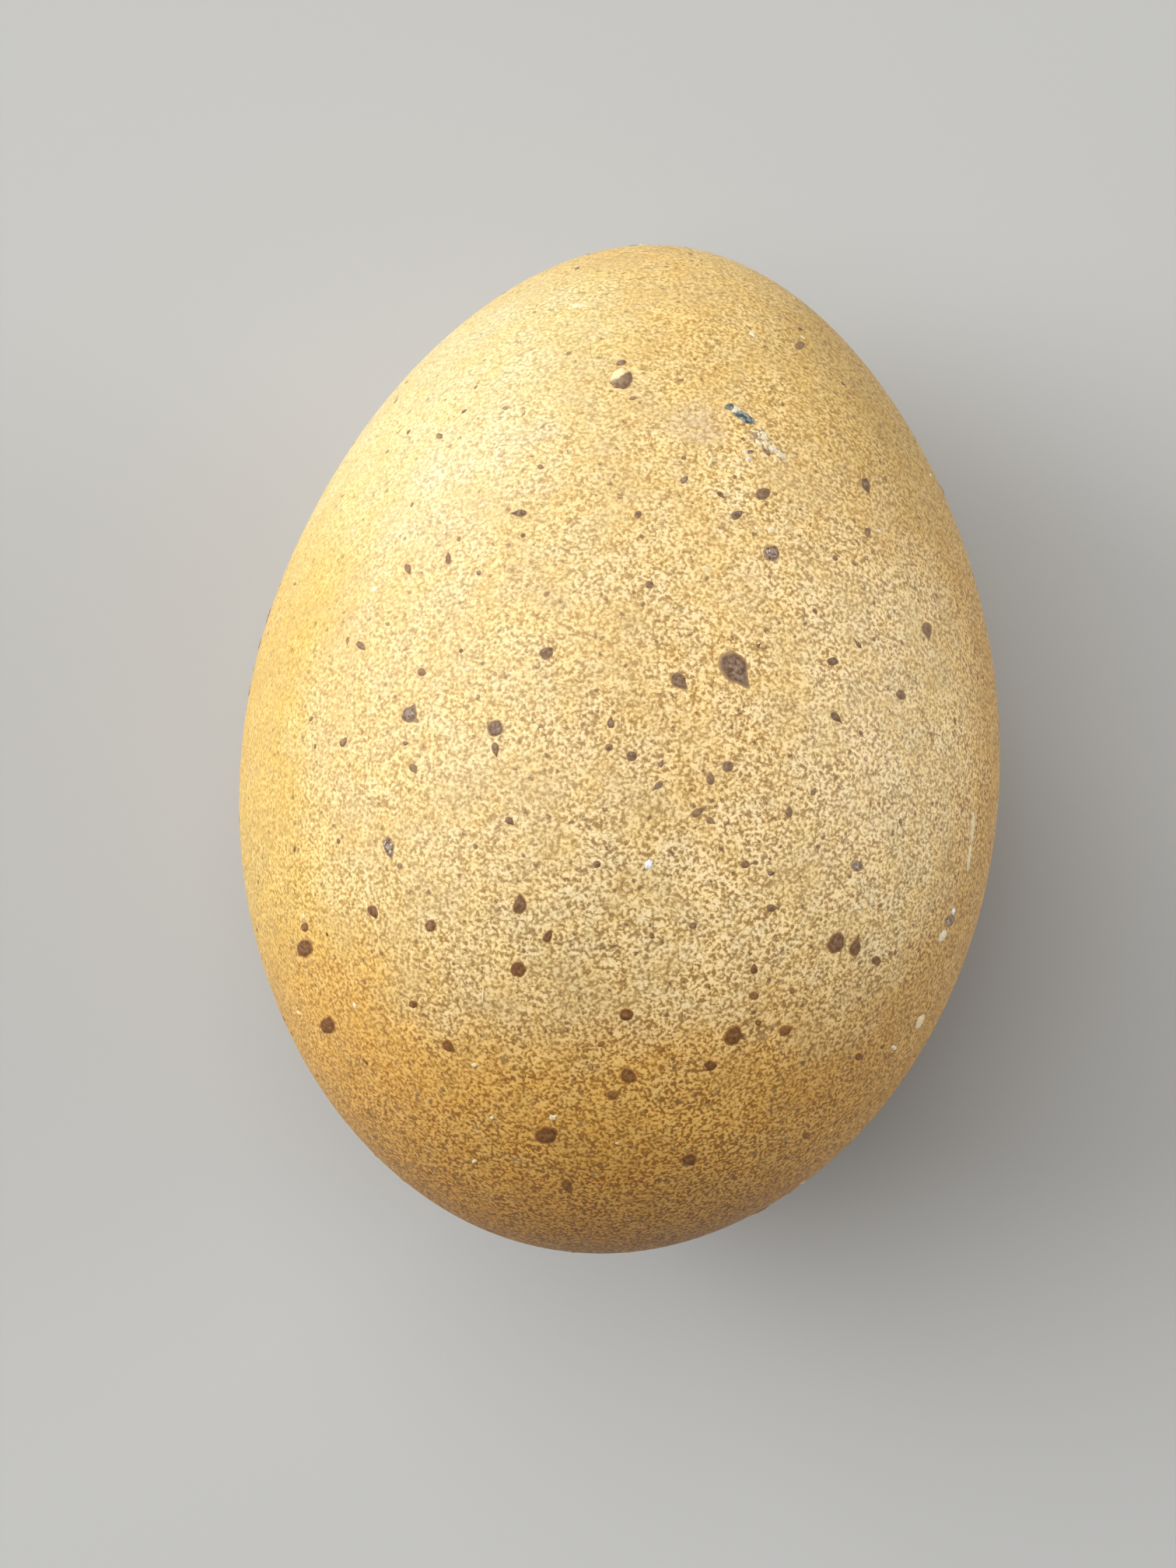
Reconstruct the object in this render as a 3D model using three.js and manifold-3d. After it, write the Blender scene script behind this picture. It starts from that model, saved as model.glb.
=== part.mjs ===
// A hen's egg lying on its side, as an egg lies when nothing holds it up.
//
// Millimetres, +Z up. The long axis runs along +Y with the narrow end at +Y, and the narrow end hangs
// a little lower than the blunt end, which is where the egg's own weight brings it to rest. The origin
// is on the surface that the egg lies on, below the middle of its outline.

import * as THREE from "three";
import Module from "manifold-3d";
import { mergeVertices } from "three/addons/utils/BufferGeometryUtils.js";

// Driving dimensions of the shell.
const LENGTH = 58.2;
const BREADTH = 43.2;
const TAPER = 0.081; // how much the narrow end is slimmer than the blunt one, as a share of the breadth
const FLANK = 0.054; // how much both ends are drawn in from a true ellipse, as a share of the breadth
const FLAT_DEPTH = 0.3; // how deep the small flat spot under the egg lies inside its round outline

// Facets round the egg and along it.
const AROUND = 72;
const ALONG = 40;

// How finely the outline is worked out where it is only measured.
const FINE_STATIONS = 4000;
const SLOPE_STEP = 0.01;
const HALVINGS = 50;

const MERGE_DISTANCE = 1e-4; // corners of the mesh closer than this are one corner

const HALF_LENGTH = LENGTH / 2;

// The outline before it is sized. t runs from -1 at the tip of the blunt end to +1 at the narrow one.
const outline = (t) => Math.sqrt(Math.max(0, 1 - t * t)) * (1 - TAPER * t - FLANK * t * t);

// Stations along the axis, closer together towards the ends, where the shell turns quickly.
function stations(count) {
  return Array.from({ length: count + 1 }, (_, i) => -Math.cos((Math.PI * i) / count));
}

const FINE = stations(FINE_STATIONS);
const WIDEST = Math.max(...FINE.map(outline));

// The radius of the shell at a distance y along the axis from the middle of its length.
const radiusAt = (y) => (outline(y / HALF_LENGTH) / WIDEST) * (BREADTH / 2);

// The slope of the outline at y.
function slopeAt(y) {
  return (radiusAt(y + SLOPE_STEP) - radiusAt(y - SLOPE_STEP)) / (2 * SLOPE_STEP);
}

// Where the centre of volume lies on the axis.
function balancePoint() {
  let volume = 0;
  let moment = 0;
  for (let i = 1; i < FINE.length; i++) {
    const y = ((FINE[i] + FINE[i - 1]) / 2) * HALF_LENGTH;
    const slice = radiusAt(y) ** 2 * (FINE[i] - FINE[i - 1]);
    volume += slice;
    moment += slice * y;
  }
  return moment / volume;
}

// An egg at rest touches the surface where the line square to its shell passes through its balance
// point. Halving the interval finds that station on the flank.
function contactStation(balance) {
  let low = -HALF_LENGTH / 2;
  let high = HALF_LENGTH / 2;
  for (let i = 0; i < HALVINGS; i++) {
    const y = (low + high) / 2;
    const past = y - balance + radiusAt(y) * slopeAt(y);
    if (past > 0) high = y;
    else low = y;
  }
  return (low + high) / 2;
}

// The whole shell as a body of revolution about Y.
function shellGeometry() {
  const profile = stations(ALONG).map((t) => new THREE.Vector2(radiusAt(t * HALF_LENGTH), t * HALF_LENGTH));
  profile[0].x = 0;
  profile[ALONG].x = 0;
  return new THREE.LatheGeometry(profile, AROUND);
}

// Turns the shell about X until its contact station is lowest, and stands it on z = 0, sunk by the
// depth of its flat spot.
function layDown(geometry) {
  const contact = contactStation(balancePoint());
  geometry.rotateX(Math.atan(slopeAt(contact)));
  geometry.computeBoundingBox();
  const { min, max } = geometry.boundingBox;
  geometry.translate(0, -(min.y + max.y) / 2, -min.z - FLAT_DEPTH);
  return geometry;
}

// A closed geometry as a solid that can be cut.
function solidOf(wasm, geometry) {
  const bare = geometry.clone();
  bare.deleteAttribute("normal");
  bare.deleteAttribute("uv");
  const merged = mergeVertices(bare, MERGE_DISTANCE);
  return new wasm.Manifold(
    new wasm.Mesh({
      numProp: 3,
      vertProperties: merged.attributes.position.array,
      triVerts: new Uint32Array(merged.index.array),
    }),
  );
}

// A solid back as a geometry with flat faces.
function geometryOf(solid) {
  const mesh = solid.getMesh();
  const geometry = new THREE.BufferGeometry();
  geometry.setAttribute("position", new THREE.BufferAttribute(mesh.vertProperties, 3));
  geometry.setIndex(new THREE.BufferAttribute(mesh.triVerts, 1));
  geometry.computeVertexNormals();
  return geometry;
}

// Cuts away what lies below z = 0, which leaves the small flat spot that the egg rests on.
function cutFlatSpot(wasm, geometry) {
  const slab = new THREE.BoxGeometry(LENGTH, LENGTH, BREADTH);
  slab.translate(0, 0, -BREADTH / 2);
  return geometryOf(solidOf(wasm, geometry).subtract(solidOf(wasm, slab)));
}

const eggshell = new THREE.MeshStandardMaterial({
  name: "eggshell",
  color: new THREE.Color().setRGB(0.83, 0.67, 0.38, THREE.SRGBColorSpace),
  roughness: 0.55,
  metalness: 0,
});

const wasm = await Module();
wasm.setup();

const egg = new THREE.Mesh(cutFlatSpot(wasm, layDown(shellGeometry())), eggshell);
egg.name = "egg";

const part = new THREE.Group();
part.add(egg);

export default part;
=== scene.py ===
import math

import bmesh
import bpy
import numpy as np
from mathutils import Matrix, Vector, noise
from mathutils.bvhtree import BVHTree


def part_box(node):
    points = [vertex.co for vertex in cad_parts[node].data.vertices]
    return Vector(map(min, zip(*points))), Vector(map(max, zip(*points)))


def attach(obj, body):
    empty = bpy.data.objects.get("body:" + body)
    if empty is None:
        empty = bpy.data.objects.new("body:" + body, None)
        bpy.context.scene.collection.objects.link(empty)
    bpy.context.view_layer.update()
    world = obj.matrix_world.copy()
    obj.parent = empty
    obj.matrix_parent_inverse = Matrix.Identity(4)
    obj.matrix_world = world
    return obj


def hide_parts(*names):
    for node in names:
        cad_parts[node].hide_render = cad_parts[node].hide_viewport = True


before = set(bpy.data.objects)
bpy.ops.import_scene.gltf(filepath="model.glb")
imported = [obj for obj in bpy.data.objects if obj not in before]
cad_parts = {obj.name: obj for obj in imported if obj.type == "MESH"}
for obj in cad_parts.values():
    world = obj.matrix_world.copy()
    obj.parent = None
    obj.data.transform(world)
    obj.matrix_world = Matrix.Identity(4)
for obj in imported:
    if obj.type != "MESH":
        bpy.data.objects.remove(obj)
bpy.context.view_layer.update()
egg_low, egg_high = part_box("egg")
middle = (egg_low + egg_high) / 2
MM = 0.001


# ---------------------------------------------------------------- camera
# Looks almost straight down on the egg as it lies, from a hand's width above it. The narrow end
# points up the picture and leans a little to the right.
CAMERA_LENS = 70.0
CAMERA_DISTANCE = 174.5 * MM
CAMERA_AZIMUTH = 5.8
CAMERA_ELEVATION = 86.5
EGG_RIGHT_OF_CENTRE = 2.0 * MM
EGG_ABOVE_CENTRE = 2.4 * MM


def direction(azimuth, elevation):
    """The way to a point seen from the middle of the egg, in degrees. Azimuth 0 is -Y and 90 is +X."""
    turn = math.radians(azimuth)
    rise = math.radians(elevation)
    return Vector(
        (math.sin(turn) * math.cos(rise), -math.cos(turn) * math.cos(rise), math.sin(rise))
    )


camera_back = direction(CAMERA_AZIMUTH, CAMERA_ELEVATION)
camera_right = direction(CAMERA_AZIMUTH + 90, 0)
camera_up = camera_back.cross(camera_right)

camera = bpy.data.objects.new("camera", bpy.data.cameras.new("camera"))
camera.data.lens = CAMERA_LENS
camera.data.clip_start = 1 * MM
camera.location = middle + camera_back * CAMERA_DISTANCE
camera.location -= camera_right * EGG_RIGHT_OF_CENTRE + camera_up * EGG_ABOVE_CENTRE
camera.rotation_euler = Matrix((camera_right, camera_up, camera_back)).transposed().to_euler()
bpy.context.scene.collection.objects.link(camera)
bpy.context.scene.camera = camera


# ---------------------------------------------------------------- light
# Soft boxes stand well away, so that they light the floor evenly too. The largest hangs over the
# egg's left side, two lower ones light its left flank, and two weak ones lift the right flank.
SOFT_BOXES = {
    # name: azimuth, elevation, distance and width in metres, watts
    "overhead_box": (240, 66, 3.0, 4.0, 100),
    "left_box": (265, 34, 3.0, 1.8, 42),
    "low_left_box": (230, 9, 4.0, 1.2, 80),
    "right_box": (105, 15, 3.0, 1.6, 42),
    "low_right_box": (92, 6, 4.0, 1.0, 20),
}
ROOM_COLOUR = (1.0, 1.0, 1.0, 1.0)
ROOM_STRENGTH = 0.02

for name, (azimuth, elevation, distance, width, watts) in SOFT_BOXES.items():
    lamp = bpy.data.lights.new(name, "AREA")
    lamp.shape = "DISK"
    lamp.size = width
    lamp.energy = watts
    box = bpy.data.objects.new(name, lamp)
    box.visible_camera = False
    box.location = middle + direction(azimuth, elevation) * distance
    box.rotation_euler = direction(azimuth, elevation).to_track_quat("Z", "Y").to_euler()
    bpy.context.scene.collection.objects.link(box)

room = bpy.data.worlds.new("room")
room.use_nodes = True
room.node_tree.nodes["Background"].inputs["Color"].default_value = ROOM_COLOUR
room.node_tree.nodes["Background"].inputs["Strength"].default_value = ROOM_STRENGTH
bpy.context.scene.world = room
bpy.context.scene.view_settings.view_transform = "Standard"


# ---------------------------------------------------------------- floor
# A plain pale table top that the egg lies on. It isn't part of the object.
FLOOR_HALF_SIZE = 12.0
FLOOR_COLOUR = (0.45, 0.45, 0.44, 1.0)
FLOOR_ROUGHNESS = 0.7

floor_mesh = bpy.data.meshes.new("floor")
corners = [(-1, -1), (1, -1), (1, 1), (-1, 1)]
floor_mesh.from_pydata(
    [(x * FLOOR_HALF_SIZE, y * FLOOR_HALF_SIZE, egg_low.z) for x, y in corners], [], [(0, 1, 2, 3)]
)
floor = bpy.data.objects.new("floor", floor_mesh)
bpy.context.scene.collection.objects.link(floor)
table_top = bpy.data.materials.new("table_top")
table_top.use_nodes = True
table_shader = table_top.node_tree.nodes["Principled BSDF"].inputs
table_shader["Base Color"].default_value = FLOOR_COLOUR
table_shader["Roughness"].default_value = FLOOR_ROUGHNESS
floor_mesh.materials.append(table_top)


# ---------------------------------------------------------------- shell
# The shell of a hen's egg: a thin, hard, satin skin of lime that grew in one piece, blunt at one end.
# Its cream ground is freckled all over in fine tan worm-like marks, under a patchy pale bloom that is
# partly a painted reflection; painted shade, sheen and glare lie on its flanks.
TAPER = 0.081
FLANK = 0.054
FLAT_DEPTH = 0.3 * MM
OUTLINE_STEPS = 4001
CONTACT_REACH = 0.5
FACES_ALONG_EDGE = 128
UNEVEN = 0.05 * MM
UNEVEN_SPAN = 11 * MM
SPECK_GAP = 0.06 * MM


def fullness(t):
    """How full the egg is at t, from -1 at the blunt tip to 1 at the narrow one, beside an ellipse."""
    return 1 - TAPER * t - FLANK * t * t


t = np.linspace(-1, 1, OUTLINE_STEPS)
outline = np.sqrt(1 - t * t) * fullness(t)
widest = outline.max()
breadth = egg_high.x - egg_low.x
length = egg_high.y - egg_low.y

# The egg settles where the line square to its shell at the contact passes through its balance point.
radius = outline / widest * breadth / 2
along = t * length / 2
balance = (radius**2 * along).sum() / (radius**2).sum()
slope = np.gradient(radius, along)
miss = np.abs(along - balance + radius * slope)
miss[np.abs(t) > CONTACT_REACH] = np.inf
tilt = math.atan(slope[miss.argmin()])

# A cube's faces, cut into a grid and pushed out onto the egg, cover it evenly.
cube = bmesh.new()
bmesh.ops.create_cube(cube, size=2)
bmesh.ops.subdivide_edges(
    cube, edges=cube.edges[:], cuts=FACES_ALONG_EDGE - 1, use_grid_fill=True
)
shell_mesh = bpy.data.meshes.new("eggshell")
cube.to_mesh(shell_mesh)
cube.free()

place = np.zeros(len(shell_mesh.vertices) * 3)
shell_mesh.vertices.foreach_get("co", place)
place = np.tan(place.reshape(-1, 3) * math.pi / 4)
place /= np.linalg.norm(place, axis=1)[:, None]
full = fullness(place[:, 1]) / widest * breadth / 2
place *= np.stack([full, np.full_like(full, length / 2), full], axis=1)
lumps = np.array([noise.noise(Vector(p) / UNEVEN_SPAN) for p in place])
place += place / np.linalg.norm(place, axis=1)[:, None] * (lumps * UNEVEN)[:, None]
place = place @ np.array(Matrix.Rotation(tilt, 3, "X")).T
span = place.max(axis=0) - place.min(axis=0)
gap = np.array((2, 2, 1)) * SPECK_GAP
place *= (np.array(egg_high - egg_low) - gap + (0, 0, FLAT_DEPTH)) / span
place += np.array(egg_high) - SPECK_GAP - place.max(axis=0)
place[:, 2] = np.maximum(place[:, 2], egg_low.z)
shell_mesh.vertices.foreach_set("co", place.ravel())
shell_mesh.polygons.foreach_set("use_smooth", np.ones(len(shell_mesh.polygons), bool))
shell_mesh.update()
shell = bpy.data.objects.new("eggshell", shell_mesh)
bpy.context.scene.collection.objects.link(shell)
shell_tree = BVHTree.FromPolygons(
    [vertex.co for vertex in shell_mesh.vertices],
    [polygon.vertices for polygon in shell_mesh.polygons],
)


def seen_at(right, above):
    """The point of the shell that the camera sees this many millimetres from the egg's middle."""
    target = middle + camera_right * right * MM + camera_up * above * MM
    return shell_tree.ray_cast(camera.location, target - camera.location)[0]


class Shade:
    """A socket in a material's nodes. Sums on it add Math nodes to the same material."""

    def __init__(self, tree, socket=None):
        self.tree = tree
        self.socket = socket

    def add(self, kind, sockets=None, out=0, stops=None, **settings):
        """A new node with these settings, and these values or links on its sockets."""
        node = self.tree.nodes.new(kind)
        for name, value in settings.items():
            setattr(node, name, value)
        if stops:
            ramp = node.color_ramp.elements
            while len(ramp) < len(stops):
                ramp.new(1)
            for element, (position, colour) in zip(ramp, stops):
                element.position = position
                element.color = (*colour, 1)
        for name, value in (sockets or {}).items():
            if isinstance(value, Shade):
                self.tree.links.new(value.socket, node.inputs[name])
            else:
                node.inputs[name].default_value = value
        if isinstance(out, tuple):
            return [Shade(self.tree, node.outputs[name]) for name in out]
        return Shade(self.tree, node.outputs[out])

    def sum(self, operation, first, second):
        return self.add("ShaderNodeMath", {0: first, 1: second}, operation=operation)

    def __add__(self, other):
        return self.sum("ADD", self, other)

    def __radd__(self, other):
        return self.sum("ADD", other, self)

    def __sub__(self, other):
        return self.sum("SUBTRACT", self, other)

    def __rsub__(self, other):
        return self.sum("SUBTRACT", other, self)

    def __mul__(self, other):
        return self.sum("MULTIPLY", self, other)

    def __rmul__(self, other):
        return self.sum("MULTIPLY", other, self)

    def size(self):
        """This value without its sign."""
        return self.sum("ABSOLUTE", self, 0.0)

    def rise(self, low, high, most=1.0):
        """0 below low, most above high and smooth between them. It falls where low is above high."""
        return self.add(
            "ShaderNodeMapRange",
            {"Value": self, "From Min": low, "From Max": high, "To Max": most},
            interpolation_type="SMOOTHSTEP",
        )

    def tint(self, under, over):
        """The colour under, with over laid on it as far as this mask says."""
        return self.add("ShaderNodeMix", {0: self, 6: under, 7: over}, 2, data_type="RGBA")

    def moved(self, vector, how="ADD", out=0):
        return self.add("ShaderNodeVectorMath", {0: self, 1: vector}, out, operation=how)

    def scaled(self, factor):
        return self.add("ShaderNodeVectorMath", {0: self, "Scale": factor}, operation="SCALE")

    def parts(self):
        """The x, y and z of this place."""
        return self.add("ShaderNodeSeparateXYZ", {0: self}, (0, 1, 2))

    def grain(self, per_mm, detail=2.0, rough=0.5, out=0):
        """Noise with about this many grains to the millimetre."""
        sockets = {"Vector": self, "Scale": per_mm, "Detail": detail, "Roughness": rough}
        return self.add("ShaderNodeTexNoise", sockets, out)

    def wandering(self, per_mm, reach):
        """This place, pushed about by up to reach millimetres, so that edges run unevenly."""
        push = self.grain(per_mm, 1.0, out=1).moved((0.5, 0.5, 0.5), "SUBTRACT")
        return self.moved(push.scaled(2 * reach))

    def within(self, centre, inner, outer):
        """1 inside a ball round centre, in millimetres, and 0 from its outer radius on."""
        return self.moved(centre, "DISTANCE", "Value").rise(outer, inner)

    def dots(self, per_mm, radius, share):
        """Dots of about this radius in millimetres, in a share of the cells of a loose packing."""
        sockets = {"Vector": self, "Scale": per_mm}
        reach, chance = self.add("ShaderNodeTexVoronoi", sockets, ("Distance", "Color"))
        red, green, _ = chance.parts()
        size = radius * per_mm * (0.6 + 0.8 * green)
        return (size - reach).rise(-0.02, 0.07) * red.rise(1.01 - share, 1.02 - share)


def new_material(name):
    """A new material, its nodes, and the sockets of its Principled shader."""
    material = bpy.data.materials.new(name)
    material.use_nodes = True
    return material, Shade(material.node_tree), material.node_tree.nodes["Principled BSDF"].inputs


def finish(nodes, shader, sockets):
    """Sets or links the sockets of a Principled shader."""
    for name, value in sockets.items():
        if isinstance(value, Shade):
            nodes.tree.links.new(value.socket, shader[name])
        else:
            shader[name].default_value = value


def place_in_mm(nodes):
    """Where a point of the egg is, in millimetres from the frame's origin."""
    return nodes.add("ShaderNodeTexCoord", out=3).scaled(1 / MM)


# Freckle colours from the darkest worm to the lightest gap, under the bloom.
FRECKLES = [
    (0.24, (0.32, 0.185, 0.068)),
    (0.38, (0.48, 0.310, 0.118)),
    (0.50, (0.66, 0.475, 0.205)),
    (0.62, (0.82, 0.618, 0.315)),
    (0.78, (0.91, 0.725, 0.43)),
]
# What each zone of the shell multiplies those colours by.
NARROW_TINT = (1.0, 0.95, 0.76, 1)
LEFT_TINT = (1.0, 0.93, 0.62, 1)
RIGHT_TINT = (0.98, 0.86, 0.66, 1)
# The blunt end and its tip: darker and browner, as painted shade.
BLUNT_SHADE_TINT = (0.97, 0.74, 0.37, 1)
BLUNT_TIP_SHADE_TINT = (0.76, 0.48, 0.135, 1)
# The bloom's pale tint is partly a painted reflection of the overhead light.
BLOOM_AND_REFLECTION_TINT = (1.0, 0.995, 0.94, 1)
CORE_TINT = (1.0, 0.965, 0.85, 1)
PALE_BAND_TINT = (1.10, 1.10, 1.14, 1)
# Painted sheen on the upper left limb, whitening it like a glancing reflection.
PAINTED_SHEEN_TINT = (1.03, 1.20, 1.62, 1)
# Painted shade on the right flank.
PAINTED_FLANK_SHADE_TINT = (0.79, 0.74, 0.62, 1)
NO_TINT = (1.0, 1.0, 1.0, 1)
HUE_DRIFT = [(0.36, (1.03, 1.0, 0.92)), (0.64, (0.98, 1.0, 1.08))]
DOT_COLOUR = (0.23, 0.12, 0.05, 1)
STAIN_COLOUR = (0.38, 0.23, 0.09, 1)
# The middles of the bloom, which is partly a painted reflection, its golden core and the painted sheen
# on the upper left limb, in millimetres.
BLOOM_AND_REFLECTION_TOP = (1.6, 0.0, 43.0)
CORE_TOP = (2.0, 0.5, 43.0)
PAINTED_SHEEN_MIDDLE = (-14.5, 18.5, 30.5)
# Right of and above the egg's middle in millimetres: a greyish smudge, and a row of dried lime.
GREY_PATCH = (4.2, 18.2)
GREY_PATCH_COLOUR = (0.58, 0.42, 0.27, 1)
LIME_ROW = [(7.7, 17.5), (8.4, 16.9), (9.1, 16.3)]
LIME_FILM_COLOUR = (0.30, 0.22, 0.14, 1)
GRAIN_RELIEF = 0.03 * MM

eggshell, nodes, shader = new_material("eggshell")
spot = place_in_mm(nodes)
across, lengthwise, _ = spot.parts()

# Towards the left of the narrow end, where the light falls brightest, painted glare washes the
# freckles out. Their contrast is also weaker on the right flank and stronger at the blunt end.
painted_glare = (lengthwise * 0.6 - across).rise(-30.0, 36.0)
worms = spot.wandering(2.6, 0.10).grain(5.2, 1.5, 0.55).rise(0.29, 0.71)
clumps = spot.grain(2.1, 1.0, 0.5)
patches = spot.grain(0.35, 1.5, 0.5)
freckle_contrast_and_glare = (1.58 - 1.24 * painted_glare) * (0.75 + 0.5 * patches.rise(0.3, 0.7))
freckle_contrast_and_glare = freckle_contrast_and_glare * (1 - 0.22 * across.rise(5.0, 15.0) + 0.25 * lengthwise.rise(-15.0, -24.0))
marks = (worms - 0.5) * 0.40 + (clumps - 0.5) * 0.23
tone = 0.5 + marks * freckle_contrast_and_glare + (patches - 0.5) * 0.08

# The zones: golden sides and ends, with the bloom and its golden core over them, and painted shade and
# sheen on the flanks.
drifting = spot.wandering(0.10, 2.6).wandering(0.45, 1.3)
side, along, _ = drifting.parts()
zone = side.rise(-14.0, 6.0).tint(LEFT_TINT, RIGHT_TINT)
# Towards the blunt end and its tip the shell is painted darker and browner, as painted shade.
zone = along.rise(-9.0, -20.0).tint(zone, BLUNT_SHADE_TINT)
zone = along.rise(-19.0, -28.0).tint(zone, BLUNT_TIP_SHADE_TINT)
zone = along.rise(5.0, 20.0).tint(zone, NARROW_TINT)
# Painted shade darkens the right flank towards its edge, and more so towards both ends.
painted_flank_shade = (side + 0.5 * along.size()).rise(15.0, 23.0)
zone = zone.moved(painted_flank_shade.tint(NO_TINT, PAINTED_FLANK_SHADE_TINT), "MULTIPLY")
# The pale bloom over the top is partly the shell's own bloom and partly a painted reflection of the
# overhead light.
bloom_and_reflection = drifting.within(BLOOM_AND_REFLECTION_TOP, 17.2, 22.6) * (along - 0.18 * side).rise(-20.0, -11.5)
bloom_and_reflection = bloom_and_reflection * (along + 0.8 * side).rise(26.0, 16.0)
zone = bloom_and_reflection.tint(zone, BLOOM_AND_REFLECTION_TINT)
core = drifting.within(CORE_TOP, 2.0, 8.5)
zone = core.tint(zone, CORE_TINT)
pale_band = side.rise(0.0, 5.0) * side.rise(17.0, 9.0) * bloom_and_reflection
zone = zone.moved(pale_band.tint(NO_TINT, PALE_BAND_TINT), "MULTIPLY")
# A painted sheen whitens the upper left limb, where the light glances off the shell.
painted_sheen = drifting.within(PAINTED_SHEEN_MIDDLE, 5.5, 16.5)
zone = zone.moved(painted_sheen.tint(NO_TINT, PAINTED_SHEEN_TINT), "MULTIPLY")

# The freckles in those zones, then the stains, dots and smudges that lie on them.
colour = nodes.add("ShaderNodeValToRGB", {0: tone}, stops=FRECKLES)
colour = colour.moved(zone, "MULTIPLY")
drift = spot.grain(0.6, 2.0)
colour = colour.moved(nodes.add("ShaderNodeValToRGB", {0: drift}, stops=HUE_DRIFT), "MULTIPLY")
dark_worms = (worms + (clumps - 0.5)).rise(0.75, 0.25)
stains = spot.wandering(3.0, 0.12).dots(0.9, 0.28, 0.45) * dark_worms * freckle_contrast_and_glare * 0.5
colour = stains.tint(colour, STAIN_COLOUR)
dots = spot.wandering(5.0, 0.10).dots(1.6, 0.13, 0.7) * (0.55 + 0.4 * dark_worms)
# The dots fade under the same painted glare towards the upper left.
colour = (dots * (1.2 - 0.7 * painted_glare)).tint(colour, DOT_COLOUR)
near = spot.wandering(0.9, 0.5)
film = near.within(seen_at(*GREY_PATCH) / MM, 0.5, 2.4) * clumps.rise(0.3, 0.6, 0.45)
colour = film.tint(colour, GREY_PATCH_COLOUR)
row = [near.within(seen_at(*place) / MM, 0.1, 0.75) for place in LIME_ROW]
film = (row[0] + row[1] + row[2]) * worms.rise(0.9, 0.3)
colour = film.tint(colour, LIME_FILM_COLOUR)
relief = spot.grain(7.0, 2.0, 0.6) * 0.5 + worms * 0.15
finish(
    nodes,
    shader,
    {
        "Base Color": colour,
        "Roughness": 0.46 + 0.16 * spot.grain(3.0, 2.0),
        "Specular IOR Level": 0.4,
        "Normal": nodes.add(
            "ShaderNodeBump", {"Height": relief, "Strength": 0.35, "Distance": GRAIN_RELIEF}
        ),
    },
)
shell_mesh.materials.append(eggshell)
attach(shell, "root")
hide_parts("egg")


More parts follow.
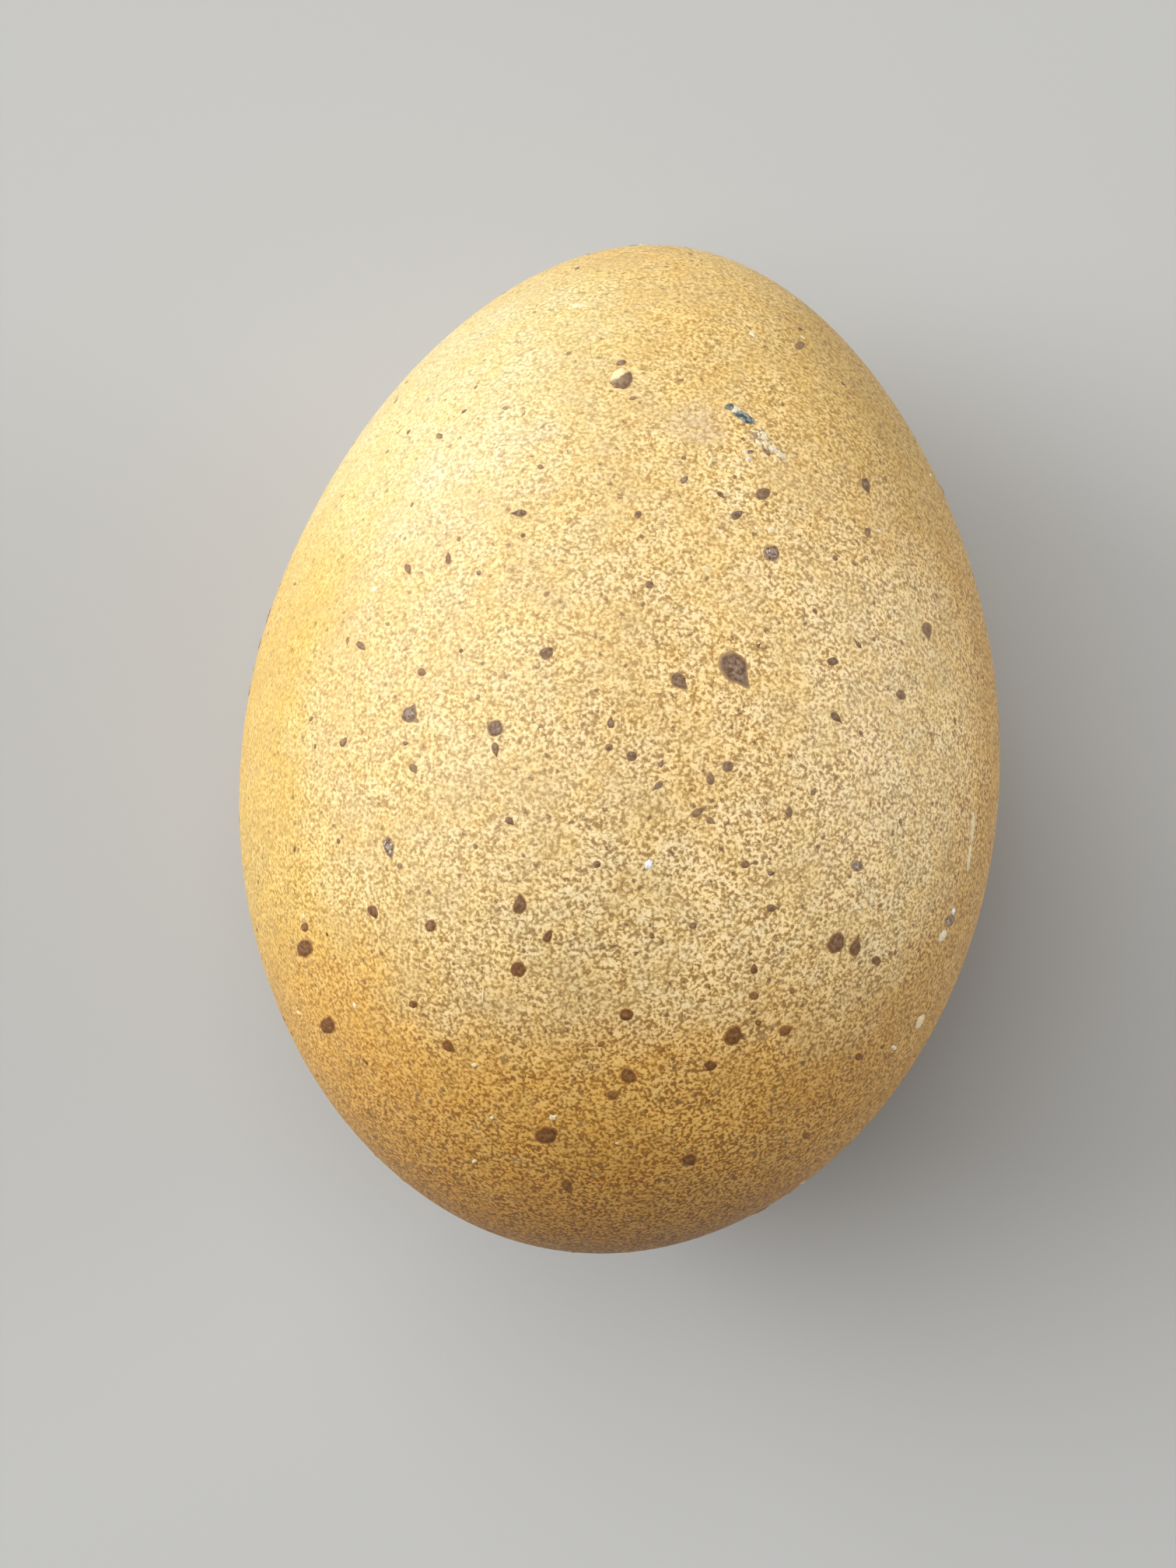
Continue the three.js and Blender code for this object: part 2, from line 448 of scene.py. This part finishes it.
# ---------------------------------------------------------------- pigment specks
# Scabs of brown pigment that stuck to the shell as it was laid. Each is a thin raised plate with a
# darker rim and a pale fringe. Some were drawn out into a tail, and some carry a grey skin of lime.
SPECKS = [
    # right of and above the egg's middle, length, width, tail, the way it points in degrees, grey skin
    (6.4, 4.2, 1.90, 1.60, 0.30, -54, 0.35),
    (3.2, 3.5, 0.95, 0.85, 0.22, -45, 0.1),
    (8.5, 10.8, 0.95, 0.85, 0.0, -20, 0.8),
    (8.0, 14.2, 0.85, 0.70, 0.1, 20, 0.1),
    (13.9, 14.7, 0.80, 0.50, 0.3, -70, 0.0),
    (-12.2, 1.6, 0.95, 0.85, 0.2, 60, 0.6),
    (-7.3, 0.8, 0.95, 0.90, 0.0, 60, 0.5),
    (-7.3, -0.4, 0.70, 0.45, 0.3, -80, 0.2),
    (-4.4, 5.1, 0.80, 0.70, 0.1, 30, 0.0),
    (-5.9, 13.1, 0.75, 0.45, 0.3, 180, 0.2),
    (-13.4, -6.0, 1.05, 0.65, 0.2, -80, 0.9),
    (-11.0, -10.5, 0.75, 0.60, 0.0, 70, 0.2),
    (-14.3, -9.7, 0.70, 0.55, 0.2, -60, 0.0),
    (-18.2, -11.8, 1.05, 0.95, 0.0, 90, 0.1),
    (-18.2, -10.6, 0.55, 0.40, 0.0, 90, 0.0),
    (-16.9, -16.2, 0.95, 0.90, 0.1, 80, 0.0),
    (-5.9, -9.3, 0.95, 0.85, 0.3, 90, 0.0),
    (-6.0, -13.0, 0.90, 0.85, 0.0, 0, 0.0),
    (-4.3, -11.1, 0.65, 0.50, 0.2, 60, 0.0),
    (-0.7, 1.1, 0.55, 0.45, 0.2, 90, 0.0),
    (0.5, -0.8, 0.65, 0.60, 0.0, 0, 0.0),
    (-0.8, -0.3, 0.45, 0.40, 0.0, 0, 0.0),
    (6.0, -1.4, 0.70, 0.60, 0.0, 30, 0.1),
    (5.0, -2.1, 0.65, 0.50, 0.2, 90, 0.0),
    (4.3, -4.0, 0.80, 0.45, 0.4, 35, 0.0),
    (12.0, 4.6, 0.60, 0.50, 0.1, 0, 0.0),
    (12.2, 1.4, 0.65, 0.45, 0.4, -45, 0.0),
    (17.4, 6.4, 0.85, 0.60, 0.4, -80, 0.0),
    (15.9, 2.7, 0.60, 0.50, 0.1, -45, 0.0),
    (13.4, -7.1, 0.65, 0.60, 0.0, 0, 0.9),
    (12.2, -11.5, 1.15, 1.00, 0.1, 70, 0.0),
    (13.3, -11.7, 0.95, 0.70, 0.5, 75, 0.0),
    (6.3, -16.8, 1.15, 0.95, 0.1, 50, 0.0),
    (9.3, -16.5, 0.75, 0.60, 0.2, 30, 0.0),
    (0.2, -15.6, 0.75, 0.70, 0.0, 0, 0.0),
    (0.3, -19.1, 0.95, 0.80, 0.1, -30, 0.0),
    (-0.6, -20.2, 0.65, 0.55, 0.0, 0, 0.0),
    (-4.4, -22.5, 1.30, 0.95, 0.0, 5, 0.0),
    (3.8, -23.9, 0.80, 0.70, 0.1, 180, 0.0),
    (-3.2, -25.4, 0.80, 0.60, 0.2, -60, 0.0),
    (-10.0, -17.4, 0.75, 0.60, 0.2, -45, 0.0),
    (-12.3, 9.9, 0.55, 0.40, 0.3, -70, 0.0),
    (-12.0, -1.5, 0.55, 0.45, 0.2, -60, 0.0),
    (-12.0, -15.0, 0.50, 0.45, 0.0, 0, 0.0),
    (-16.0, 0.0, 0.50, 0.40, 0.2, 60, 0.0),
    (-15.0, 5.5, 0.55, 0.40, 0.2, -45, 0.0),
    (-11.5, 4.0, 0.50, 0.45, 0.0, 0, 0.0),
    (-6.5, -4.5, 0.50, 0.45, 0.2, -45, 0.0),
    (-10.0, 10.5, 0.60, 0.35, 0.2, 90, 0.3),
    (-10.5, 17.5, 0.40, 0.35, 0.0, 0, 0.0),
    (6.5, 13.0, 0.70, 0.50, 0.1, 30, 0.5),
    (3.5, 15.0, 0.45, 0.35, 0.2, 40, 0.5),
    (14.0, 12.0, 0.50, 0.40, 0.2, -90, 0.0),
    (1.5, 9.0, 0.50, 0.45, 0.0, 0, 0.0),
    (4.0, -10.5, 0.45, 0.40, 0.0, 0, 0.0),
    (-1.5, -7.0, 0.45, 0.40, 0.0, 0, 0.0),
    (8.5, -9.5, 0.55, 0.45, 0.2, 0, 0.0),
    (7.0, -7.0, 0.50, 0.45, 0.0, 0, 0.0),
    (9.5, -4.0, 0.55, 0.45, 0.2, 90, 0.0),
    (7.5, -14.5, 0.55, 0.45, 0.0, 0, 0.0),
    (7.5, -13.0, 0.50, 0.45, 0.2, 90, 0.0),
    (5.0, -18.5, 0.70, 0.60, 0.0, 0, 0.0),
    (14.5, -12.5, 0.55, 0.50, 0.0, 0, 0.0),
    (13.5, -18.0, 0.45, 0.40, 0.0, 0, 0.0),
    (10.5, -22.5, 0.45, 0.40, 0.0, 0, 0.0),
    (5.0, -4.5, 0.50, 0.40, 0.3, -30, 0.0),
    (2.0, -2.5, 0.55, 0.40, 0.4, -140, 0.0),
    (10.1, 22.7, 0.60, 0.45, 0.0, 20, 0.0),
    (-0.1, 21.7, 0.60, 0.34, 0.0, 15, 0.4),
    (7.7, 17.6, 0.45, 0.26, 0.0, -20, 0.9),
    (7.2, 16.6, 0.60, 0.20, 0.0, 10, 0.8),
    (8.2, 16.6, 0.60, 0.22, 0.0, -45, 0.6),
    (18.7, -10.2, 0.75, 0.50, 0.0, 65, 1.0),
]
SPECK_THICKNESS = 0.045 * MM
RIM_UNDER = 0.012 * MM
ROOT_UNDER = 0.06 * MM
FRINGE_REACH = 1.12
TAIL_SWELL = 0.4
TAIL_POINT = 6
RINGS = (0.3, 0.55, 0.75, 0.88, 0.96, 1.0)
BROAD_WOBBLE = 1.7
FINE_WOBBLE = 4.5
LUMP_WOBBLE = 2.6
LISTED_CORNERS = 36
LARGE_CORNERS = 28
SMALL_CORNERS = 16
CLEAR_OF_TABLE = 0.5 * MM
SEED = 20

dice = np.random.default_rng(SEED)


def as_seen(right, above):
    """A function of x and y in millimetres: the shell that far right of and above a mark there."""
    return lambda x, y: seen_at(right + x, above + y)


def round_about(at, normal):
    """The same for a mark at this point of the shell, along two ways across it."""
    first = normal.orthogonal().normalized()
    second = normal.cross(first)
    return lambda x, y: at + (first * x + second * y) * MM


class Scabs:
    """Thin plates on the shell, gathered into one mesh."""

    def __init__(self):
        self.places = []
        self.faces = []
        self.edge = []
        self.tone = []
        self.thin = []

    def lay(self, at, lift, edge):
        """A corner held this far above the shell at its nearest point."""
        surface, normal, _, _ = shell_tree.find_nearest(at)
        self.places.append(surface + normal * lift)
        self.edge.append(edge)
        return len(self.places) - 1

    def plate(self, spread, heading, long, wide, tail, thick, tone, steps, lumpy=0.5, ragged=0.1):
        """One closed plate over the points that spread gives. Its length and its tail point along
        heading, in degrees from x towards y."""
        before = len(self.places)
        chance = Vector(dice.uniform(-50, 50, 3))
        turn = math.radians(heading)
        top = self.lay(spread(0, 0), thick, 0.0)
        rings = []
        for share in RINGS:
            ring = []
            for step in range(steps):
                ahead = math.cos(math.tau * step / steps)
                aside = math.sin(math.tau * step / steps)
                wobble = noise.noise(chance + Vector((ahead, aside, 0)) * BROAD_WOBBLE)
                wobble += 0.5 * noise.noise(chance + Vector((ahead, aside, 3)) * FINE_WOBBLE)
                reach = share * (FRINGE_REACH + 2 * ragged * wobble + TAIL_SWELL * tail) / 2
                forth = reach * long * (ahead + tail * max(0.0, ahead) ** TAIL_POINT)
                out = reach * wide * aside * abs(math.sin(math.pi * step / steps)) ** (2 * tail)
                x = forth * math.cos(turn) - out * math.sin(turn)
                y = forth * math.sin(turn) + out * math.cos(turn)
                bump = noise.noise(chance + Vector((ahead, aside, 7)) * LUMP_WOBBLE * share)
                lumps = 1 + lumpy * bump
                lift = thick * (1 - share**4) * lumps - RIM_UNDER * share**4
                ring.append(self.lay(spread(x, y), lift, share))
            rings.append(ring)
        root = self.lay(spread(0, 0), -ROOT_UNDER, 1.0)
        for step in range(steps):
            after = (step + 1) % steps
            self.faces.append((top, rings[0][step], rings[0][after]))
            for inner, outer in zip(rings, rings[1:]):
                self.faces.append((inner[step], outer[step], outer[after], inner[after]))
            self.faces.append((root, rings[-1][after], rings[-1][step]))
        thin = min(1.0, max(0.0, dice.uniform(0.35, 1.1) - wide))
        self.tone += [tone] * (len(self.places) - before)
        self.thin += [thin] * (len(self.places) - before)

    def made(self, name, material):
        """The piece that holds all these plates."""
        mesh = bpy.data.meshes.new(name)
        mesh.from_pydata(self.places, [], self.faces)
        mesh.polygons.foreach_set("use_smooth", [True] * len(mesh.polygons))
        marks = {"edge": self.edge, "tone": self.tone, "thin": self.thin}
        for attribute, values in marks.items():
            mesh.attributes.new(attribute, "FLOAT", "POINT").data.foreach_set("value", values)
        mesh.materials.append(material)
        piece = bpy.data.objects.new(name, mesh)
        bpy.context.scene.collection.objects.link(piece)
        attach(piece, "root")
        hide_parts("egg")


specks = Scabs()
for right, above, long, wide, tail, heading, skin in SPECKS:
    specks.plate(
        as_seen(right, above), heading, long, wide, tail, SPECK_THICKNESS, skin, LISTED_CORNERS
    )

# The rest are scattered: small ones all over, and larger ones where the listed ones don't reach.
SMALL_SPECKS = 330
LARGE_SPECKS = 130
SMALL_WIDTHS = (0.22, 0.46)
LARGE_WIDTHS = (0.45, 1.1)
MOSTLY_NARROW = 1.2
SMALL_THINNER = 0.6
LISTED_SIDE = 0.15
WIDEST_UNLISTED = 0.34
for number in range(SMALL_SPECKS + LARGE_SPECKS):
    way = Vector(dice.normal(size=3)).normalized()
    at, normal, _, _ = shell_tree.ray_cast(middle, way)
    large = number >= SMALL_SPECKS
    wide = dice.uniform(*(LARGE_WIDTHS if large else SMALL_WIDTHS))
    wide **= MOSTLY_NARROW if large else 1
    heading = dice.uniform(0, 360)
    tail = max(0.0, dice.uniform(-0.5, 0.5))
    long = wide * dice.uniform(1.0, 1.5)
    skin = max(0.0, dice.uniform(-2.0, 0.8))
    listed_side = normal.dot(camera_back) > LISTED_SIDE
    if (listed_side and wide > WIDEST_UNLISTED) or at.z < CLEAR_OF_TABLE:
        continue
    thick = SPECK_THICKNESS * (1 if large else SMALL_THINNER)
    corners = LARGE_CORNERS if large else SMALL_CORNERS
    specks.plate(round_about(at, normal), heading, long, wide, tail, thick, skin, corners)

PIGMENT = [
    (0.34, (0.120, 0.060, 0.026)),
    (0.50, (0.200, 0.114, 0.060)),
    (0.64, (0.300, 0.200, 0.130)),
]
THIN_PIGMENT = (0.40, 0.25, 0.12, 1)
# The specks towards the blunt end: darker and browner, as painted shade.
BLUNT_PIGMENT_SHADE_TINT = (1.0, 0.72, 0.34, 1)
RIM_COLOUR = (0.110, 0.048, 0.018, 1)
FRINGE_COLOUR = (0.44, 0.28, 0.12, 1)
GREY_SKIN = (0.33, 0.27, 0.225, 1)
PALE_LIME = (0.72, 0.66, 0.56, 1)

pigment, nodes, shader = new_material("pigment")
spot = place_in_mm(nodes)
edge = nodes.add("ShaderNodeAttribute", out=2, attribute_name="edge")
skin = nodes.add("ShaderNodeAttribute", out=2, attribute_name="tone")
thin = nodes.add("ShaderNodeAttribute", out=2, attribute_name="thin")
mottle = spot.grain(4.5, 2.0, 0.6)
colour = nodes.add("ShaderNodeValToRGB", {0: mottle}, stops=PIGMENT)
colour = (thin * 0.8 + (mottle - 0.5) * 0.5).rise(0.0, 1.0).tint(colour, THIN_PIGMENT)
colour = (skin * mottle.rise(0.38, 0.62)).tint(colour, GREY_SKIN)
streaks = spot.wandering(2.0, 0.3).grain(6.0, 1.0).rise(0.60, 0.70)
colour = (skin.rise(0.4, 0.9) * streaks).tint(colour, PALE_LIME)
rim = (edge + (mottle - 0.5) * 0.5).rise(0.45, 0.72, 0.5)
colour = (rim * (1 - thin)).tint(colour, RIM_COLOUR)
fringe = (edge + (spot.grain(3.0, 2.0) - 0.5) * 0.25).rise(0.68, 0.97, 0.9)
colour = fringe.tint(colour, FRINGE_COLOUR)
# Towards the blunt end the specks are painted darker and browner, as painted shade, like the shell
# there.
blunt_shade = spot.parts()[1].rise(-5.0, -17.0)
colour = colour.moved(blunt_shade.tint((1, 1, 1, 1), BLUNT_PIGMENT_SHADE_TINT), "MULTIPLY")
finish(
    nodes,
    shader,
    {
        "Base Color": colour,
        "Roughness": 0.6 + 0.2 * mottle,
        "Specular IOR Level": 0.35,
        "Normal": nodes.add(
            "ShaderNodeBump", {"Height": mottle, "Strength": 0.5, "Distance": GRAIN_RELIEF}
        ),
    },
)
specks.made("pigment_specks", pigment)


# ---------------------------------------------------------------- pimple
# A small lime pimple near the narrow end, where the shell grew over a grain. Its side towards the
# light is cream, partly bare lime and partly painted highlight, and its side away from the light is a
# brown pigment scab, partly darkened as painted shade.
PIMPLE_RIGHT = -0.1
PIMPLE_ABOVE = 20.8
PIMPLE_LONG = 1.18
PIMPLE_WIDE = 1.08
PIMPLE_HEIGHT = 0.22 * MM
PIMPLE_HEADING = 20
PIMPLE_LUMPS = 0.3
PIMPLE_CORNERS = 40
PIMPLE_LIGHT_SIDE = 120
CREAM_LIME = (0.86, 0.70, 0.40, 1)
YELLOW_LIME = (0.78, 0.60, 0.30, 1)
TAN_SCAB = (0.34, 0.24, 0.14, 1)
PIMPLE_RIM = (0.24, 0.14, 0.06, 1)

pimple = Scabs()
pimple.plate(
    as_seen(PIMPLE_RIGHT, PIMPLE_ABOVE),
    PIMPLE_HEADING,
    PIMPLE_LONG,
    PIMPLE_WIDE,
    tail=0.0,
    thick=PIMPLE_HEIGHT,
    tone=0.0,
    steps=PIMPLE_CORNERS,
    lumpy=PIMPLE_LUMPS,
)
light_turn = math.radians(PIMPLE_LIGHT_SIDE)
light_side = camera_right * math.cos(light_turn) + camera_up * math.sin(light_turn)
pimple_top = seen_at(PIMPLE_RIGHT, PIMPLE_ABOVE)
# Each corner's tone is how far it lies towards the light: the cream painted highlight falls on that
# side, and the brown painted shade on the other.
pimple.tone = [(at - pimple_top).dot(light_side) / MM for at in pimple.places]

pimple_lime, nodes, shader = new_material("pimple_lime")
spot = place_in_mm(nodes)
edge = nodes.add("ShaderNodeAttribute", out=2, attribute_name="edge")
side = nodes.add("ShaderNodeAttribute", out=2, attribute_name="tone")
mottle = spot.grain(5.0, 2.0, 0.6)
# Cream on the side towards the light, as bare lime and painted highlight; brown pigment with painted
# shade on the far side.
lit_bare_side = (side + (spot.grain(2.2, 1.0) - 0.5) * 0.5).rise(0.0, 0.16)
scab = nodes.add("ShaderNodeValToRGB", {0: mottle}, stops=PIGMENT)
scab = edge.rise(0.95, 0.4, 0.5).tint(scab, TAN_SCAB)
lime = mottle.rise(0.3, 0.7).tint(YELLOW_LIME, CREAM_LIME)
colour = lit_bare_side.tint(scab, lime)
colour = edge.rise(0.80, 0.97, 0.7).tint(colour, PIMPLE_RIM)
finish(
    nodes,
    shader,
    {
        "Base Color": colour,
        "Roughness": 0.5 + 0.2 * mottle,
        "Specular IOR Level": 0.4,
        "Normal": nodes.add(
            "ShaderNodeBump", {"Height": mottle, "Strength": 0.4, "Distance": GRAIN_RELIEF}
        ),
    },
)
pimple.made("pimple", pimple_lime)


# ---------------------------------------------------------------- straw flake
# A dark scrap of nest litter that dried on near the narrow end, in two bits.
FLAKE_BITS = [
    # right of and above the middle, length, width, the way it points in degrees
    (6.95, 18.6, 1.35, 0.44, -32),
    (6.1, 19.2, 0.50, 0.34, 10),
]
FLAKE_THICKNESS = 0.09 * MM
FLAKE_CORNERS = 28
FLAKE_LUMPS = 0.8
FLAKE_RAGGED = 0.22
DARK_LITTER = (0.060, 0.080, 0.078, 1)
PALE_LITTER = (0.30, 0.33, 0.29, 1)
LITTER_RIM = (0.10, 0.075, 0.04, 1)

flake = Scabs()
for right, above, long, wide, heading in FLAKE_BITS:
    flake.plate(
        as_seen(right, above),
        heading,
        long,
        wide,
        tail=0.0,
        thick=FLAKE_THICKNESS,
        tone=0,
        steps=FLAKE_CORNERS,
        lumpy=FLAKE_LUMPS,
        ragged=FLAKE_RAGGED,
    )

dry_litter, nodes, shader = new_material("dry_litter")
spot = place_in_mm(nodes)
edge = nodes.add("ShaderNodeAttribute", out=2, attribute_name="edge")
mottle = spot.grain(4.0, 2.0, 0.6)
colour = mottle.rise(0.42, 0.60).tint(DARK_LITTER, PALE_LITTER)
colour = edge.rise(0.8, 1.0, 0.5).tint(colour, LITTER_RIM)
finish(
    nodes,
    shader,
    {"Base Color": colour, "Roughness": 0.45 + 0.3 * mottle, "Specular IOR Level": 0.4},
)
flake.made("straw_flake", dry_litter)


# ---------------------------------------------------------------- lime flecks
# Chips and crumbs of dried lime, white to cream, that stand a little off the shell.
LIME_FLECKS = [
    # right of and above the middle, length, width, the way it points in degrees, whiteness
    (6.5, 19.0, 0.55, 0.38, -25, 0.4),
    (7.0, 16.6, 0.40, 0.20, -30, 0.3),
    (7.2, 16.2, 0.36, 0.22, 20, 0.4),
    (5.0, 16.0, 0.50, 0.20, 60, 0.0),
    (5.0, 16.5, 0.30, 0.12, 120, 0.2),
    (1.5, -7.0, 0.52, 0.36, 70, 1.0),
    (13.5, -9.5, 0.25, 0.20, 0, 0.2),
    (-4.0, -21.5, 0.42, 0.30, 0, 0.1),
    (15.5, -17.5, 0.32, 0.24, 0, 0.2),
    (-2.5, 25.0, 0.85, 0.25, 0, 0.1),
    (-8.0, -14.5, 0.90, 0.14, 88, 0.1),
    (-8.5, -18.5, 0.28, 0.20, 0, 0.1),
    (-7.5, -21.5, 0.22, 0.16, 0, 0.1),
    (-8.5, -24.0, 0.30, 0.20, 0, 0.1),
    (18.3, -11.1, 0.65, 0.32, 65, 0.35),
    (18.9, -9.7, 0.40, 0.16, 75, 0.9),
    (17.0, -16.0, 0.95, 0.30, 60, 0.1),
    (20.0, -4.9, 1.70, 0.15, 86, 0.1),
    (19.8, -6.6, 1.50, 0.13, 82, 0.1),
]
FLECK_THICKNESS = 0.07 * MM
CRUMB_THICKNESS = 0.049 * MM
FLECK_CORNERS = 20
CRUMB_CORNERS = 12
CHIP_CORNERS = 16
FLECK_LUMPS = 0.8
FLECK_RAGGED = 0.2
SCATTERED_FLECKS = 60
ROW_CHIPS = 17
ROW_SPREAD = 0.3
CREAM_FLECK = (0.84, 0.68, 0.36, 1)
WHITE_FLECK = (0.84, 0.85, 0.83, 1)
SOILED_FLECK = (0.45, 0.38, 0.30, 1)

flecks = Scabs()


def chip(spread, heading, long, wide, thick, white, corners):
    """One chip of dried lime."""
    flecks.plate(
        spread, heading, long, wide, 0, thick, white, corners, FLECK_LUMPS, FLECK_RAGGED
    )


for right, above, long, wide, heading, white in LIME_FLECKS:
    chip(as_seen(right, above), heading, long, wide, FLECK_THICKNESS, white, FLECK_CORNERS)
for number in range(SCATTERED_FLECKS):
    at, normal, _, _ = shell_tree.ray_cast(middle, Vector(dice.normal(size=3)).normalized())
    wide = dice.uniform(0.14, 0.28)
    long = wide * dice.uniform(1.0, 2.0)
    heading = dice.uniform(0, 360)
    white = max(0.0, dice.uniform(-1.0, 0.8))
    if at.z < CLEAR_OF_TABLE:
        continue
    chip(round_about(at, normal), heading, long, wide, CRUMB_THICKNESS, white, CRUMB_CORNERS)

# A row of chips, left where the egg touched something limy, runs down to the right.
row_start = LIME_ROW[0]
row_end = LIME_ROW[-1]
for number in range(ROW_CHIPS):
    share = number / (ROW_CHIPS - 1)
    right = row_start[0] + share * (row_end[0] - row_start[0])
    right += dice.uniform(-ROW_SPREAD, ROW_SPREAD)
    above = row_start[1] + share * (row_end[1] - row_start[1])
    above += dice.uniform(-ROW_SPREAD, ROW_SPREAD)
    long = dice.uniform(0.26, 0.55)
    wide = dice.uniform(0.12, 0.22)
    heading = dice.uniform(-80, -20)
    white = dice.uniform(0.0, 0.35)
    chip(as_seen(right, above), heading, long, wide, FLECK_THICKNESS, white, CHIP_CORNERS)

dry_lime, nodes, shader = new_material("dry_lime")
spot = place_in_mm(nodes)
white = nodes.add("ShaderNodeAttribute", out=2, attribute_name="tone")
mottle = spot.grain(6.0, 2.0, 0.6)
colour = white.tint(CREAM_FLECK, WHITE_FLECK)
colour = mottle.rise(0.62, 0.45, 0.35).tint(colour, SOILED_FLECK)
finish(
    nodes,
    shader,
    {"Base Color": colour, "Roughness": 0.55 + 0.2 * mottle, "Specular IOR Level": 0.4},
)
flecks.made("lime_flecks", dry_lime)
